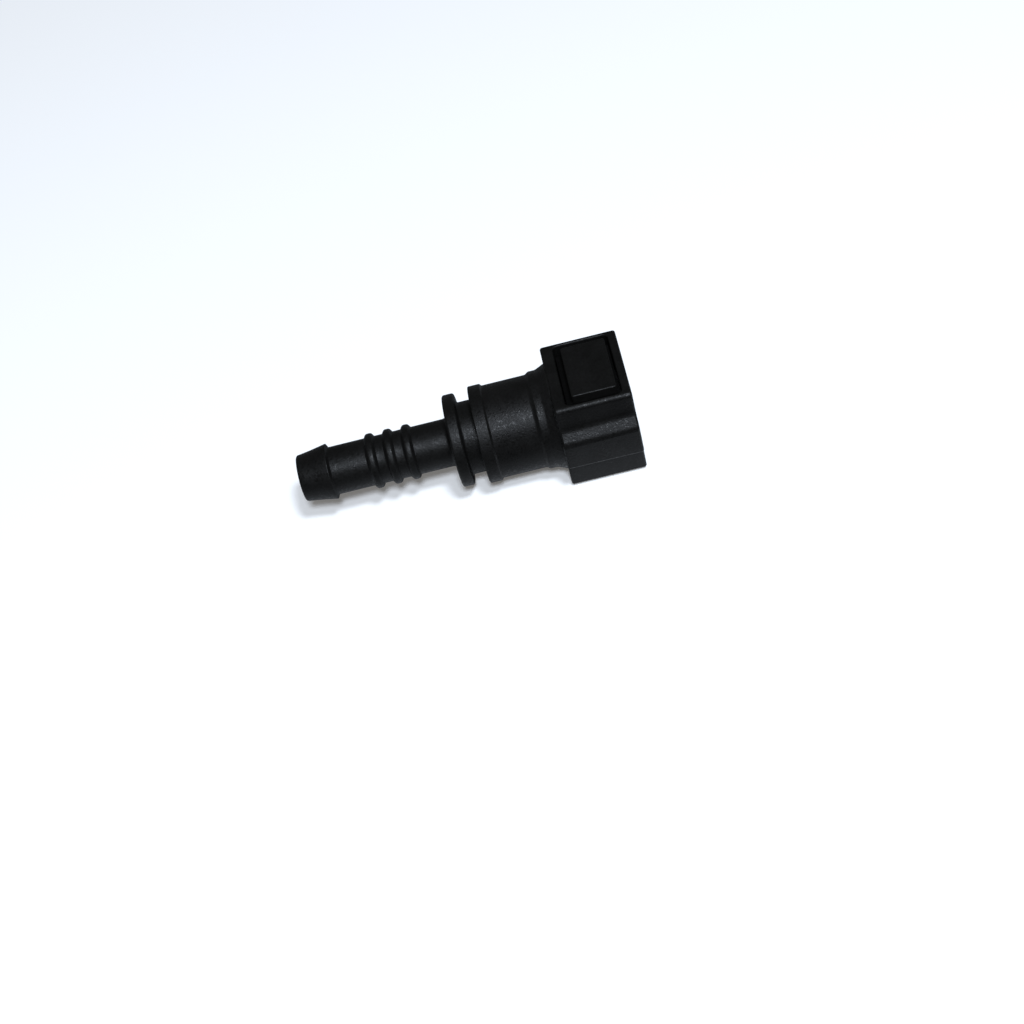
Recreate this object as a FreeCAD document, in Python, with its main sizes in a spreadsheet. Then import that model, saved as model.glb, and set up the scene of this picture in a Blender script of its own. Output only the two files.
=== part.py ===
"""Straight push-on connector for a fuel hose, with a two-button release.

A barbed stem takes the hose. The square head takes the beaded end of a metal tube, which passes
between two latches, through a bush and two seals, and stops in a pilot bore. Squeezing the two
buttons spreads the latches and lets the tube go.

Frame: the origin is the centre of the mouth, +X points out of the mouth along the bore, the stem
runs towards -X, and +Z is the normal of the upper button. All lengths are millimetres.
"""
import FreeCAD, Part
import math
import os

import Sketcher

Vector = FreeCAD.Vector

# Driving dimensions: along the bore they count from the mouth face back towards the stem
SIZES = {
    "overall_length": 58.0,
    # hose stem
    "stem_radius": 4.15,
    "tip_radius": 4.00,
    "tip_edge": 0.24,
    "barb_radius": 4.84,
    "barb_length": 5.20,
    "barb_back": 0.50,
    "ring_from_tip": 12.95,
    "ring_pitch": 3.22,
    "ring_radius": 4.79,
    "ring_land": 0.80,
    "ring_base": 1.90,
    "ring_sink": 0.10,
    "stem_foot": 0.50,
    # collar, neck and body
    "flange_start": 29.20,
    "flange_width": 2.10,
    "flange_radius": 8.04,
    "flange_edge": 0.26,
    "neck_radius": 6.30,
    "band_start": 24.55,
    "band_width": 2.10,
    "band_radius": 8.48,
    "band_slope": 0.30,
    "body_radius": 8.10,
    "shoulder_start": 14.75,
    "shoulder_width": 1.30,
    "shoulder_radius": 8.50,
    "shoulder_slope": 0.55,
    "flare_radius": 9.20,
    "flare_back": 0.45,
    # square head
    "head_length": 13.15,
    "head_height": 17.90,
    "head_breadth": 16.58,
    "bulge_breadth": 20.44,
    "bulge_height": 5.32,
    "bulge_root_height": 8.34,
    "head_edge": 0.42,
    "bulge_edge": 1.70,
    "bulge_foot": 0.60,
    "end_edge": 0.34,
    # window for the retainer, and the wall of a bulge outside its recess
    "window_start": 1.50,
    "window_length": 9.55,
    "window_breadth": 15.10,
    "window_corner": 0.70,
    "window_edge": 0.14,
    "bulge_wall": 0.80,
    # bores
    "mouth_radius": 5.30,
    "mouth_chamfer": 0.40,
    "flow_radius": 2.90,
    "flow_chamfer": 0.30,
    "tube_radius": 3.945,
    "tube_clearance": 0.055,
    "pilot_length": 6.30,
    "gland_start": 23.20,
    "gland_radius": 5.52,
    # seals and the pieces that hold them
    "seal_thickness": 1.78,
    "seal_clearance": 0.05,
    "seal_fit": 0.01,
    "spacer_width": 1.60,
    "spacer_clearance": 0.05,
    "collar_radius": 6.30,
    "collar_width": 1.00,
    "bush_clearance": 0.10,
    "bush_chamfer": 0.80,
    # retainer
    "front_clearance": 0.62,
    "back_clearance": 1.23,
    "side_clearance": 1.50,
    "button_proud": 0.50,
    "button_edge": 0.18,
    "button_corner": 0.35,
    "pad_height": 1.85,
    "button_thickness": 3.05,
    "underside_rounding": 0.90,
    "arm_thickness": 1.05,
    "arm_gap": 0.14,
    "latch_clearance": 0.20,
    "lug_radius": 4.15,
    "lug_height": 6.00,
    "lug_start": 4.40,
    "lug_length": 3.00,
    "lug_mouth_radius": 5.25,
    "bead_space_radius": 5.20,
    "rib_start": 3.60,
    "rib_length": 4.20,
    "rib_height": 4.40,
    "rib_ramp": 0.80,
    "rib_root": 0.30,
    "recess_clearance": 0.30,
    "button_travel": 1.00,
}
RING_COUNT = 3
SEAL_SIDES = 8
# how far a cutting profile runs past the piece that it cuts
OVERSHOOT = 1.0
SIDES = {"front": -1, "rear": 1}
FACES = {"upper": 1, "lower": -1}

doc = FreeCAD.newDocument("fuel_hose_connector")
sheet = doc.addObject("Spreadsheet::Sheet", "Sizes")
for row, (alias, number) in enumerate(SIZES.items(), start=1):
    sheet.set(f"A{row}", alias.replace("_", " "))
    sheet.set(f"B{row}", str(number))
    sheet.setAlias(f"B{row}", alias)
doc.recompute()


class Size:
    """A length that knows both its number and the sheet formula that it follows."""

    def __init__(self, number, formula):
        self.number = number
        self.formula = formula

    def combine(self, other, sign, result):
        formula = other.formula if isinstance(other, Size) else repr(other)
        return Size(result, f"({self.formula} {sign} {formula})")

    def __add__(self, other):
        return self.combine(other, "+", self.number + plain(other))

    def __sub__(self, other):
        return self.combine(other, "-", self.number - plain(other))

    def __mul__(self, factor):
        return self.combine(factor, "*", self.number * plain(factor))

    def __truediv__(self, divisor):
        return self.combine(divisor, "/", self.number / plain(divisor))

    def __neg__(self):
        return Size(-self.number, f"(0 - {self.formula})")


def plain(value):
    """The bare number of a Size, or the number itself."""
    return value.number if isinstance(value, Size) else value


def size(alias):
    """A driving dimension, tied to its cell."""
    return Size(SIZES[alias], f"Sizes.{alias}")


ZERO = Size(0.0, "0")

# Places that several pieces share
tip = -size("overall_length")
head_back = -size("head_length")
half_height = size("head_height") / 2
half_breadth = size("head_breadth") / 2
window_front = -size("window_start")
window_back = window_front - size("window_length")
window_side = size("window_breadth") / 2
gland_back = -size("gland_start")
pilot_radius = size("tube_radius") + size("tube_clearance")
pilot_back = gland_back - size("pilot_length")
seal_centre_radius = size("gland_radius") - size("seal_thickness") / 2 - size("seal_fit")
inner_seal = gland_back + size("seal_clearance") + size("seal_thickness") / 2
spacer_back = inner_seal + size("seal_thickness") / 2 + size("seal_clearance")
spacer_front = spacer_back + size("spacer_width")
outer_seal = spacer_front + size("seal_clearance") + size("seal_thickness") / 2
bush_back = outer_seal + size("seal_thickness") / 2 + size("seal_clearance")
bush_radius = size("tube_radius") + size("bush_clearance")
collar_back = window_back - size("collar_width")
button_side = window_side - size("side_clearance")
button_top = half_height + size("button_proud")
button_underside = button_top - size("button_thickness")
button_front = window_front - size("front_clearance")
button_back = window_back + size("back_clearance")
plate_top = button_top - size("pad_height")
latch_front = window_front - size("latch_clearance")
latch_back = window_back + size("latch_clearance")
arm_inside = button_side - size("arm_thickness")
half_arm_gap = size("arm_gap") / math.sqrt(2)
rib_front = -size("rib_start")
rib_back = rib_front - size("rib_length")
bulge_side = size("bulge_breadth") / 2
recess_side = bulge_side - size("bulge_wall")
rib_tip = recess_side - size("recess_clearance") - size("button_travel")


def new_body(name):
    body = doc.addObject("PartDesign::Body", name)
    body.Label = name
    return body


def bind(feature, name, value):
    """Tie one property of a feature to the sheet."""
    feature.setExpression(name, value.formula)


def pin(sketch, geometry, point, u, v):
    """Hold one point of a sketch at a signed distance from the sketch's origin on both axes."""
    for kind, value in (("DistanceX", u), ("DistanceY", v)):
        if value.number < 0:
            ends = (geometry, point, -1, 1)
            value = -value
        else:
            ends = (-1, 1, geometry, point)
        index = sketch.addConstraint(Sketcher.Constraint(kind, *ends, value.number))
        sketch.setExpression(f"Constraints[{index}]", value.formula)


def new_sketch(body, name, plane, offset=ZERO):
    """An empty sketch on one of the body's own planes, set off along the plane's normal."""
    sketch = body.newObject("Sketcher::SketchObject", name)
    support = next(item for item in body.Origin.OriginFeatures if item.Role == plane)
    sketch.AttachmentSupport = [(support, "")]
    sketch.MapMode = "FlatFace"
    bind(sketch, "AttachmentOffset.Base.z", offset)
    return sketch


def outline(body, name, plane, corners, offset=ZERO):
    """A closed outline of straight edges through corners given as pairs of Sizes."""
    sketch = new_sketch(body, name, plane, offset)
    places = [Vector(plain(u), plain(v), 0) for u, v in corners]
    count = len(places)
    for index in range(count):
        edge = Part.LineSegment(places[index], places[(index + 1) % count])
        sketch.addGeometry(edge, False)
    for index in range(count):
        following = (index + 1) % count
        sketch.addConstraint(Sketcher.Constraint("Coincident", index, 2, following, 1))
    for index, (u, v) in enumerate(corners):
        pin(sketch, index, 1, u, v)
    doc.recompute()
    return sketch


def rectangle(u_low, u_high, v_low, v_high):
    return [(u_low, v_low), (u_high, v_low), (u_high, v_high), (u_low, v_high)]


def turn(body, kind, name, sketch):
    """Revolve a profile about the bore's axis: a Revolution adds it, a Groove cuts it."""
    before = body.Shape.Volume if kind == "Groove" else 0.0
    feature = body.newObject(f"PartDesign::{kind}", name)
    feature.Profile = sketch
    feature.ReferenceAxis = (sketch, ["H_Axis"])
    feature.Angle = 360.0
    doc.recompute()
    check_change(feature, before, kind != "Groove")
    return feature


def extrude(body, kind, name, sketch, length, side="One side", backwards=False):
    """Extend a profile along its normal: a Pad adds it, a Pocket cuts it."""
    before = 0.0 if body.Shape.isNull() else body.Shape.Volume
    feature = body.newObject(f"PartDesign::{kind}", name)
    feature.Profile = sketch
    feature.SideType = side
    feature.Reversed = backwards
    bind(feature, "Length", length)
    doc.recompute()
    check_change(feature, before, kind == "Pad")
    return feature


def check_change(feature, before, grows):
    """Stop if a feature failed, or if a cut missed the piece."""
    volume = feature.Shape.Volume
    if feature.State and ("Invalid" in feature.State or "Error" in feature.State):
        raise RuntimeError(f"{feature.Name} failed")
    if (grows and volume <= before) or (not grows and volume >= before):
        raise RuntimeError(f"{feature.Name} changed nothing")


def edges_where(shape, test):
    """Names of the edges whose every vertex and midpoint pass the test."""
    names = []
    for index, edge in enumerate(shape.Edges, start=1):
        middle = edge.valueAt((edge.FirstParameter + edge.LastParameter) / 2)
        points = [vertex.Point for vertex in edge.Vertexes] + [middle]
        if all(test(point) for point in points):
            names.append(f"Edge{index}")
    return names


def dress(body, kind, name, base, edge_names, value):
    """Round or bevel the named edges of the last feature."""
    if not edge_names:
        raise RuntimeError(f"{name} found no edge")
    feature = body.newObject(f"PartDesign::{kind}", name)
    feature.Base = (base, edge_names)
    bind(feature, "Radius" if kind == "Fillet" else "Size", value)
    doc.recompute()
    check_change(feature, 0.0, True)
    return feature


def near(a, b):
    return abs(a - plain(b)) < 1e-4


def from_axis(point):
    return math.hypot(point.y, point.z)


def ring_edge(x, radius):
    """A test for the circular edge at one place along the bore."""
    return lambda point: near(point.x, x) and near(from_axis(point), radius)


def turned_piece(name, corners):
    """A ring-shaped piece, revolved from one closed profile in its own body."""
    body = new_body(name)
    turn(body, "Revolution", f"{name}_turning", outline(body, f"{name}_profile", "XZ_Plane", corners))
    return body


def ring_profile(body, x):
    """The profile of one stem ring: a narrow land between two sloping flanks, sunk in the stem."""
    half_land = size("ring_land") / 2
    half_base = size("ring_base") / 2
    crest = size("ring_radius")
    root = size("stem_radius") - size("ring_sink")
    return outline(body, "ring_profile", "XZ_Plane", [
        (x - half_base, root), (x - half_land, crest), (x + half_land, crest), (x + half_base, root),
    ])


def build_head(body):
    """The square head, with a load-bearing bulge along each side and its edges rounded."""
    bulge_half = size("bulge_height") / 2
    root_half = size("bulge_root_height") / 2
    quarter = [(half_breadth, half_height), (half_breadth, root_half), (bulge_side, bulge_half)]
    section = quarter
    section = section + [(u, -v) for u, v in reversed(quarter)]
    section = section + [(-u, -v) for u, v in quarter]
    section = section + [(-u, v) for u, v in reversed(quarter)]
    sketch = outline(body, "head_section", "YZ_Plane", section)
    last = extrude(body, "Pad", "square_head", sketch, size("head_length"), backwards=True)
    long_edges = [
        ("bulge_feet", half_breadth, root_half, size("bulge_foot")),
        ("bulge_corners", bulge_side, bulge_half, size("bulge_edge")),
        ("head_corners", half_breadth, half_height, size("head_edge")),
    ]
    for name, side, height, radius in long_edges:
        names = edges_where(last.Shape, lambda point: near(abs(point.y), side)
                            and near(abs(point.z), height))
        last = dress(body, "Fillet", name, last, names, radius)
    names = edges_where(last.Shape, lambda point: near(point.x, ZERO) or near(point.x, head_back))
    return dress(body, "Chamfer", "head_end_edges", last, names, size("end_edge"))


def build_housing():
    """The one moulding: hose stem, collar, round body, flare and square head."""
    body = new_body("housing")
    build_head(body)
    barb = tip + size("barb_length")
    flange_front = -size("flange_start")
    flange_back = flange_front - size("flange_width")
    band_front = -size("band_start")
    band_back = band_front - size("band_width")
    shoulder_front = -size("shoulder_start")
    shoulder_back = shoulder_front - size("shoulder_width")
    outside = outline(body, "outside_profile", "XZ_Plane", [
        (tip, ZERO),
        (tip, size("tip_radius")),
        (barb, size("barb_radius")),
        (barb + size("barb_back"), size("stem_radius")),
        (flange_back, size("stem_radius")),
        (flange_back, size("flange_radius")),
        (flange_front, size("flange_radius")),
        (flange_front, size("neck_radius")),
        (band_back, size("neck_radius")),
        (band_back, size("band_radius")),
        (band_front, size("band_radius")),
        (band_front + size("band_slope"), size("body_radius")),
        (shoulder_back - size("shoulder_slope"), size("body_radius")),
        (shoulder_back, size("shoulder_radius")),
        (shoulder_front, size("shoulder_radius")),
        (head_back, size("flare_radius")),
        (head_back + size("flare_back"), size("flare_radius") - size("flare_back")),
        (head_back + size("flare_back"), ZERO),
    ])
    last = turn(body, "Revolution", "stem_and_body", outside)
    circles = [
        ("tip_edge", tip, size("tip_radius"), size("tip_edge")),
        ("stem_foot", flange_back, size("stem_radius"), size("stem_foot")),
        ("flange_back_edge", flange_back, size("flange_radius"), size("flange_edge")),
        ("flange_front_edge", flange_front, size("flange_radius"), size("flange_edge")),
    ]
    for name, x, radius, bevel in circles:
        names = edges_where(last.Shape, ring_edge(x, radius))
        last = dress(body, "Chamfer", name, last, names, bevel)

    # the raised rings on the stem are one ring, repeated
    ring_sketch = ring_profile(body, tip + size("ring_from_tip"))
    ring = turn(body, "Revolution", "stem_ring", ring_sketch)
    rings = body.newObject("PartDesign::LinearPattern", "stem_rings")
    rings.Originals = [ring]
    rings.Direction = (ring_sketch, ["H_Axis"])
    rings.Mode = "Spacing"
    bind(rings, "Offset", size("ring_pitch"))
    rings.Occurrences = RING_COUNT
    body.Tip = rings
    doc.recompute()
    check_change(rings, ring.Shape.Volume, True)

    # the window for the retainer goes straight through from the upper face to the lower one
    window_sketch = outline(body, "window_outline", "XY_Plane",
                            rectangle(window_back, window_front, -window_side, window_side))
    last = extrude(body, "Pocket", "window", window_sketch, half_height * 4, "Symmetric")
    names = edges_where(last.Shape, lambda point: near(abs(point.y), window_side) and (
        near(point.x, window_front) or near(point.x, window_back)))
    last = dress(body, "Fillet", "window_corners", last, names, size("window_corner"))
    low = plain(window_back) - 1e-3
    high = plain(window_front) + 1e-3
    names = edges_where(last.Shape, lambda point: near(abs(point.z), half_height)
                        and low < point.x < high and abs(point.y) < plain(window_side) + 1e-3)
    dress(body, "Chamfer", "window_edges", last, names, size("window_edge"))

    # a recess inside each bulge takes the rib of a latch and keeps the retainer in its place
    recess_half = size("rib_height") / 2 + size("recess_clearance")
    recess_sketch = outline(body, "recess_outline", "XY_Plane", rectangle(
        rib_back - size("recess_clearance"), rib_front + size("recess_clearance"),
        -recess_side, recess_side))
    extrude(body, "Pocket", "latch_recesses", recess_sketch, recess_half * 2, "Symmetric")

    # the bores, from the flow bore in the stem to the mouth
    mouth = size("mouth_radius")
    bores = outline(body, "bore_profile", "XZ_Plane", [
        (tip - OVERSHOOT, ZERO),
        (tip - OVERSHOOT, size("flow_radius") + size("flow_chamfer") + OVERSHOOT),
        (tip + size("flow_chamfer"), size("flow_radius")),
        (pilot_back, size("flow_radius")),
        (pilot_back, pilot_radius),
        (gland_back, pilot_radius),
        (gland_back, size("gland_radius")),
        (collar_back, size("gland_radius")),
        (collar_back, size("collar_radius")),
        (window_back + OVERSHOOT, size("collar_radius")),
        (window_back + OVERSHOOT, mouth),
        (-size("mouth_chamfer"), mouth),
        (ZERO + OVERSHOOT, mouth + size("mouth_chamfer") + OVERSHOOT),
        (ZERO + OVERSHOOT, ZERO),
    ])
    turn(body, "Groove", "bores", bores)
    return body


def build_seal(name, x):
    """One O-ring, its section drawn in flats, one of them flat against the wall of its gland."""
    radius = size("seal_thickness") / 2 / math.cos(math.pi / SEAL_SIDES)
    section = []
    for step in range(SEAL_SIDES):
        angle = math.tau * (step + 0.5) / SEAL_SIDES
        section.append((x + radius * math.cos(angle), seal_centre_radius + radius * math.sin(angle)))
    return turned_piece(name, section)


def build_spacer():
    """The loose ring that keeps the two seals apart."""
    return turned_piece("spacer_ring", [
        (spacer_back, bush_radius),
        (spacer_front, bush_radius),
        (spacer_front, size("gland_radius") - size("spacer_clearance")),
        (spacer_back, size("gland_radius") - size("spacer_clearance")),
    ])


def build_bush():
    """The bush that closes the gland and leads the tube in, pressed in up to its collar."""
    entry = bush_radius + size("bush_chamfer")
    return turned_piece("retaining_bush", [
        (bush_back, bush_radius),
        (window_back - size("bush_chamfer"), bush_radius),
        (window_back, entry),
        (window_back, size("collar_radius")),
        (collar_back, size("collar_radius")),
        (collar_back, size("gland_radius")),
        (bush_back, size("gland_radius")),
    ])


def build_button(face, sign):
    """A button of the retainer: a pad on a longer plate, with two short arms down to the latches."""
    name = f"{face}_button"
    body = new_body(name)
    arm_end = button_side + half_arm_gap
    arm_end_inside = arm_inside + half_arm_gap
    half = [
        (button_side, plate_top),
        (button_side, arm_end),
        (arm_inside, arm_end_inside),
        (arm_inside, button_underside),
    ]
    corners = half + [(-u, v) for u, v in reversed(half)]
    if sign < 0:
        corners = [(u, -v) for u, v in corners]
    sketch = outline(body, f"{name}_section", "YZ_Plane", corners, latch_front)
    last = extrude(body, "Pad", f"{name}_plate", sketch, latch_front - latch_back, backwards=True)
    names = edges_where(last.Shape, lambda point: near(abs(point.y), arm_inside)
                        and near(abs(point.z), button_underside))
    dress(body, "Fillet", f"{name}_roots", last, names, size("underside_rounding"))
    low, high = (plate_top, button_top) if sign > 0 else (-button_top, -plate_top)
    pad_sketch = outline(body, f"{name}_pad_outline", "YZ_Plane",
                         rectangle(-button_side, button_side, low, high), button_front)
    last = extrude(body, "Pad", f"{name}_pad", pad_sketch, button_front - button_back, backwards=True)
    names = edges_where(last.Shape, lambda point: near(abs(point.y), button_side)
                        and (near(point.x, button_front) or near(point.x, button_back)))
    last = dress(body, "Fillet", f"{name}_corners", last, names, size("button_corner"))
    names = edges_where(last.Shape, lambda point: near(abs(point.z), button_top))
    dress(body, "Chamfer", f"{name}_edges", last, names, size("button_edge"))
    return body


def build_latch(side, sign):
    """A latch of the retainer: lug behind the tube's bead, spring arm, and rib in its recess."""
    name = f"{side}_latch"
    body = new_body(name)
    lug_half = size("lug_height") / 2
    lug_inside = size("lug_radius") / 2
    half = [
        (button_side, button_side - half_arm_gap),
        (arm_inside, arm_inside - half_arm_gap),
        (arm_inside, lug_half),
        (lug_inside, lug_half),
    ]
    corners = half + [(u, -v) for u, v in reversed(half)]
    rib_half = size("rib_height") / 2
    rib = [
        (button_side - size("rib_root"), rib_half),
        (button_side, rib_half),
        (rib_tip, rib_half - size("rib_ramp")),
    ]
    rib = rib + [(u, -v) for u, v in reversed(rib)]
    if sign < 0:
        corners = [(-u, v) for u, v in corners]
        rib = [(-u, v) for u, v in rib]
    sketch = outline(body, f"{name}_section", "YZ_Plane", corners, latch_front)
    extrude(body, "Pad", f"{name}_arm", sketch, latch_front - latch_back, backwards=True)
    rib_sketch = outline(body, f"{name}_rib_section", "YZ_Plane", rib, rib_front)
    extrude(body, "Pad", f"{name}_rib", rib_sketch, size("rib_length"), backwards=True)

    # the lug has a ramp towards the mouth, a round land, and a square shoulder behind it
    lug_front = -size("lug_start")
    lug_back = lug_front - size("lug_length")
    bore = outline(body, f"{name}_bore", "XZ_Plane", [
        (latch_back - OVERSHOOT, ZERO),
        (latch_back - OVERSHOOT, size("bead_space_radius")),
        (lug_back, size("bead_space_radius")),
        (lug_back, size("lug_radius")),
        (lug_front, size("lug_radius")),
        (latch_front, size("lug_mouth_radius")),
        (latch_front + OVERSHOOT, size("lug_mouth_radius")),
        (latch_front + OVERSHOOT, ZERO),
    ])
    last = turn(body, "Groove", f"{name}_bore_cut", bore)
    names = edges_where(last.Shape, lambda point: near(abs(point.y), button_side)
                        and (near(point.x, latch_front) or near(point.x, latch_back)))
    dress(body, "Fillet", f"{name}_corners", last, names, size("button_corner"))
    return body


pieces = [build_housing(), build_seal("inner_o_ring", inner_seal), build_spacer(),
          build_seal("outer_o_ring", outer_seal), build_bush()]
for face, sign in FACES.items():
    pieces.append(build_button(face, sign))
for side, sign in SIDES.items():
    pieces.append(build_latch(side, sign))
doc.recompute()

for item in doc.Objects:
    if "Invalid" in item.State or "Error" in item.State:
        raise RuntimeError(f"{item.Name} did not compute: {item.State}")
for piece in pieces:
    if piece.Shape.isNull() or not piece.Shape.isValid() or len(piece.Shape.Solids) != 1:
        raise RuntimeError(f"{piece.Label} is not one sound solid")

os.makedirs("parts", exist_ok=True)
for piece in pieces:
    piece.Shape.exportStep(f"parts/{piece.Label}.step")
    box = piece.Shape.BoundBox
    print(f"{piece.Label}: {piece.Shape.Volume:.1f} mm3, x {box.XMin:.2f} to {box.XMax:.2f}, "
          f"y {box.YMin:.2f} to {box.YMax:.2f}, z {box.ZMin:.2f} to {box.ZMax:.2f}")
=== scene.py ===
# %% [markdown]
# # A fuel hose connector
# The part is a straight push-on connector of black glass-filled nylon, 58 mm long. A barbed stem
# takes the hose, and a square head takes a beaded metal tube, held by a retainer with two buttons.
#
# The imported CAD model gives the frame: its origin is the middle of the mouth, +X points out of the
# mouth, the stem runs towards -X and +Z is the normal of the upper button. Lengths below are
# written in millimetres and multiplied by MM, because every Blender object here is in metres.

import math

import bmesh
import bpy
from mathutils import Matrix, Vector


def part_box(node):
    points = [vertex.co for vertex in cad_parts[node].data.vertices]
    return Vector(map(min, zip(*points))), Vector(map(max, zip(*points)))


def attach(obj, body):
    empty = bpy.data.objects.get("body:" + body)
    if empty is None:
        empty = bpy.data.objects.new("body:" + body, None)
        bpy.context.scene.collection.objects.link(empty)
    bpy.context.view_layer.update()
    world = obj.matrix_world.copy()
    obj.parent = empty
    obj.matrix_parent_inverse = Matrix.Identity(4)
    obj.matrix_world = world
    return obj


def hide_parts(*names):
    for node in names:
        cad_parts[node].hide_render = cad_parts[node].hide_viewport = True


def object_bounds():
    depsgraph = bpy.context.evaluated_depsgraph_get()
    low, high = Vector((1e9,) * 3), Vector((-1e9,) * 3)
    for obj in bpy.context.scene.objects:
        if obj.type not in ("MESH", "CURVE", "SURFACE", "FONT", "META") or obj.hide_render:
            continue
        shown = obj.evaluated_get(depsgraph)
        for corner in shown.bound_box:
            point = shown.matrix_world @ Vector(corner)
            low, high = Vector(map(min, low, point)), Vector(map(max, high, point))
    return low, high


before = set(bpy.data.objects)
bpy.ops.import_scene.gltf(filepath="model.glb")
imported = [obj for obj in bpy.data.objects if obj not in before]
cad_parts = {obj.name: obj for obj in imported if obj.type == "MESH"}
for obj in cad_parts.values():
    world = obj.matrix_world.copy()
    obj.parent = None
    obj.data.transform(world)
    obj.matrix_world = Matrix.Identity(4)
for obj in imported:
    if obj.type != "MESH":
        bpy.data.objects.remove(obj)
cad_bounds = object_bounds()
MM = 0.001
print("CAD box in mm:", [[round(value / MM, 2) for value in corner] for corner in cad_bounds])

# %% [markdown]
# ## Measures taken from the frame
# The pieces below stand where the CAD nodes stand, so their main sizes come from the boxes of those
# nodes. What a box can't tell, such as the place of a shoulder, is a named length of its own.

# %% The main sizes
housing_low, housing_high = (Vector(corner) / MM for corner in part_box("housing"))
bush_low, bush_high = (Vector(corner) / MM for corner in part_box("retaining_bush"))
button_low, button_high = (Vector(corner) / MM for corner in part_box("upper_button"))
latch_low, latch_high = (Vector(corner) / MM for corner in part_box("front_latch"))

TIP = housing_low.x
FLARE_RADIUS = housing_high.z
BULGE_SIDE = housing_high.y
HEAD_BACK = -13.15
HEAD_HALF_HEIGHT = 8.95
HEAD_HALF_BREADTH = 8.29
STEM_RADIUS = 4.15
SPIN_STEPS = 144
print(f"tip at {TIP:.2f}, flare radius {FLARE_RADIUS:.2f}, bulge at {BULGE_SIDE:.2f} mm")

# %% [markdown]
# ## Helpers for turned pieces
# Most of this part is round about the bore, as a mould core and its cavities are. The way to make a
# round piece is to draw half its section as a chain of points, each a place along the bore and a
# radius, and to spin the chain once around the X axis. The corners stay sharp at first. A bevel with
# several segments then rounds each ring of edges by its own radius, as the moulder's cutter did.

# %% Spin a section, and round chosen rings of edges
WELD_DISTANCE = 1e-7
SAME_PLACE = 1e-6


def on_ring(vertex, x, radius):
    distance = math.hypot(vertex.co.y, vertex.co.z)
    return abs(vertex.co.x - x * MM) < SAME_PLACE and abs(distance - radius * MM) < SAME_PLACE


def spin_section(corners, steps=SPIN_STEPS):
    """A closed shell spun about the X axis from a closed section of (x, radius) corners."""
    mesh = bmesh.new()
    chain = [mesh.verts.new((x * MM, 0.0, radius * MM)) for x, radius in corners]
    edges = [mesh.edges.new((chain[index - 1], vertex)) for index, vertex in enumerate(chain)]
    bmesh.ops.spin(mesh, geom=chain + edges, cent=(0, 0, 0), axis=(1, 0, 0),
                   angle=math.tau, steps=steps, use_merge=True)
    bmesh.ops.remove_doubles(mesh, verts=mesh.verts, dist=WELD_DISTANCE)
    bmesh.ops.recalc_face_normals(mesh, faces=mesh.faces)
    return mesh


def round_edges(mesh, edges, radius, segments=4):
    if not edges:
        raise RuntimeError(f"no edges to round by {radius} mm")
    bmesh.ops.bevel(mesh, geom=edges, offset=radius * MM, segments=segments, profile=0.5,
                    affect="EDGES", material=-1, clamp_overlap=True)


def round_rings(mesh, rings, segments=4):
    """Rounds rings of edges, each given as its place along the bore, its radius and a rounding."""
    for x, radius, rounding in rings:
        edges = [edge for edge in mesh.edges if all(on_ring(v, x, radius) for v in edge.verts)]
        round_edges(mesh, edges, rounding, segments)


# %% [markdown]
# ## Finishing a piece
# Every mesh becomes an object that sits at the origin, with its place in its vertices, as the CAD
# nodes do. Flat faces should look flat and round ones round, so the faces are shaded smooth, edges
# sharper than an angle are marked, and a Weighted Normal modifier lets the large faces decide.

# %% Turn a bmesh into a piece of the part
def make_piece(mesh, name, body, slot, *nodes, sharp_angle=28.0):
    data = bpy.data.meshes.new(name)
    mesh.to_mesh(data)
    mesh.free()
    piece = bpy.data.objects.new(name, data)
    bpy.context.scene.collection.objects.link(piece)
    data.shade_smooth()
    data.set_sharp_from_angle(angle=math.radians(sharp_angle))
    normals = piece.modifiers.new("even shading", "WEIGHTED_NORMAL")
    normals.keep_sharp = True
    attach(piece, body)
    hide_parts(*nodes)
    data.calc_loop_triangles()
    print(f"{name}: {len(data.loop_triangles)} triangles")
    return piece


# %% [markdown]
# ## Cutting one solid with another
# A mould leaves a window and bores where its cores stood, so a Boolean modifier with a solid the
# shape of the core is the natural way to open them. The modifier is applied at once, because
# later bevels need the edges that it makes.

# %% Combine two meshes and keep the result
def combine(mesh, other, operation):
    holders = []
    for number, part in enumerate((mesh, other)):
        data = bpy.data.meshes.new(f"operand_{number}")
        part.to_mesh(data)
        part.free()
        holder = bpy.data.objects.new(f"operand_{number}", data)
        bpy.context.scene.collection.objects.link(holder)
        holders.append(holder)
    target, tool = holders
    boolean = target.modifiers.new("combine", "BOOLEAN")
    boolean.operation = operation
    boolean.solver = "EXACT"
    boolean.object = tool
    graph = bpy.context.evaluated_depsgraph_get()
    result = bmesh.new()
    result.from_object(target, graph)
    for holder in holders:
        data = holder.data
        bpy.data.objects.remove(holder)
        bpy.data.meshes.remove(data)
    bmesh.ops.remove_doubles(result, verts=result.verts, dist=WELD_DISTANCE)
    return result


def box_mesh(low, high):
    """A box between two corners given in millimetres."""
    mesh = bmesh.new()
    bmesh.ops.create_cube(mesh, size=1.0)
    low, high = Vector(low) * MM, Vector(high) * MM
    bmesh.ops.scale(mesh, vec=high - low, verts=mesh.verts)
    bmesh.ops.translate(mesh, vec=(low + high) / 2, verts=mesh.verts)
    return mesh


# %% [markdown]
# ## The housing's round half
# The hose stem has one long barb at its tip and three rings that grip the hose, and ends in a
# collar that the hose butts against. The barb is a little hollow along its slope, which a wide
# rounding at the middle of its chain gives. After a short neck come a band, the plain body over the
# seals, a shoulder, and the flare that meets the head. Their section is one chain of corners from the
# tip to the flare, then back along the bores, so that a single spin makes the outside and the inside.
# Each corner of the outside is written as its place along the bore, its radius and its rounding.

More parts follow.
